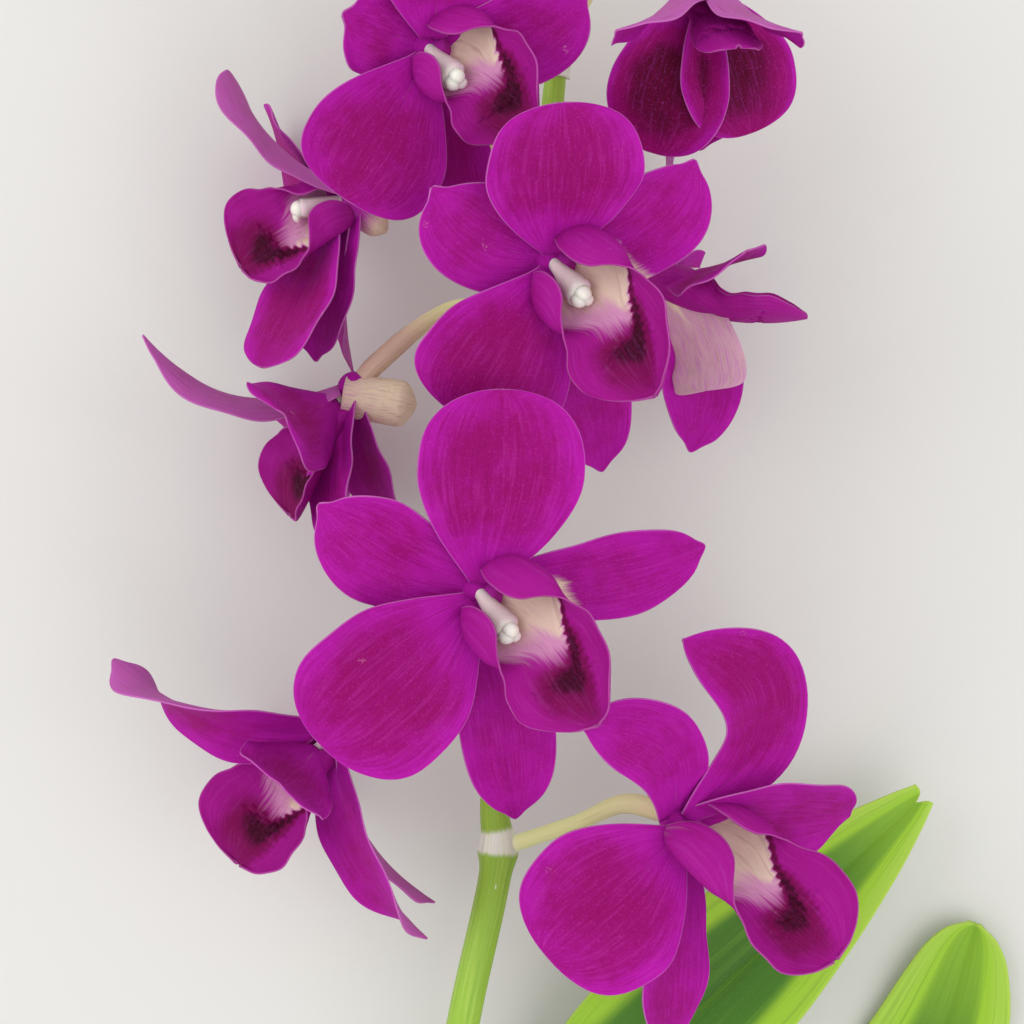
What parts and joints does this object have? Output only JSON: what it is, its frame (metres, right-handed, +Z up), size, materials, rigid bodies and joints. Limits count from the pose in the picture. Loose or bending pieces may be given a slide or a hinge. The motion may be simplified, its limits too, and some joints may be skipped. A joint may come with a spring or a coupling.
{
  "type": "dendrobium orchid stem",
  "caption": "Cut dendrobium orchid spray lying down: magenta blooms with lips and columns on pedicels, buds at the tip, and strap leaves on a short piece of cane.",
  "frame": {"origin": "on the surface that the spray lies on, under the middle of its box", "axes": "+Z up from the surface, +Y toward the tip of the spray, +X to the right seen from above"},
  "size_m": [0.1856, 0.3256, 0.0689],
  "materials": {
    "petal": "satin, finely papillate petal",
    "lip": "velvety petal with a pale throat",
    "column": "waxy",
    "pedicel": "smooth, slightly waxy",
    "stem": "smooth, slightly waxy",
    "cane": "smooth with papery sheaths",
    "leaf": "leathery, low gloss",
    "bud": "satin"
  },
  "bodies": {
    "root": {"bloom_1_petals": "petal", "bloom_1_lip": "lip", "bloom_1_column": "column", "bloom_1_pedicel": "pedicel", "bloom_2_petals": "petal", "bloom_2_lip": "lip", "bloom_2_column": "column", "bloom_2_pedicel": "pedicel", "bloom_3_petals": "petal", "bloom_3_lip": "lip", "bloom_3_column": "column", "bloom_3_pedicel": "pedicel", "bloom_4_petals": "petal", "bloom_4_lip": "lip", "bloom_4_column": "column", "bloom_4_pedicel": "pedicel", "bloom_5_petals": "petal", "bloom_5_lip": "lip", "bloom_5_column": "column", "bloom_5_pedicel": "pedicel", "bloom_6_petals": "petal", "bloom_6_lip": "lip", "bloom_6_column": "column", "bloom_6_pedicel": "pedicel", "bloom_7_petals": "petal", "bloom_7_lip": "lip", "bloom_7_column": "column", "bloom_7_pedicel": "pedicel", "bloom_8_petals": "petal", "bloom_8_lip": "lip", "bloom_8_column": "column", "bloom_8_pedicel": "pedicel", "bloom_9_petals": "petal", "bloom_9_lip": "lip", "bloom_9_column": "column", "bloom_9_pedicel": "pedicel", "stem": "stem", "cane": "cane", "leaf_1": "leaf", "leaf_2": "leaf", "leaf_3": "leaf", "bud_1": "bud", "bud_2": "bud", "bud_3": "bud", "bud_4": "bud"}
  },
  "joints": []
}
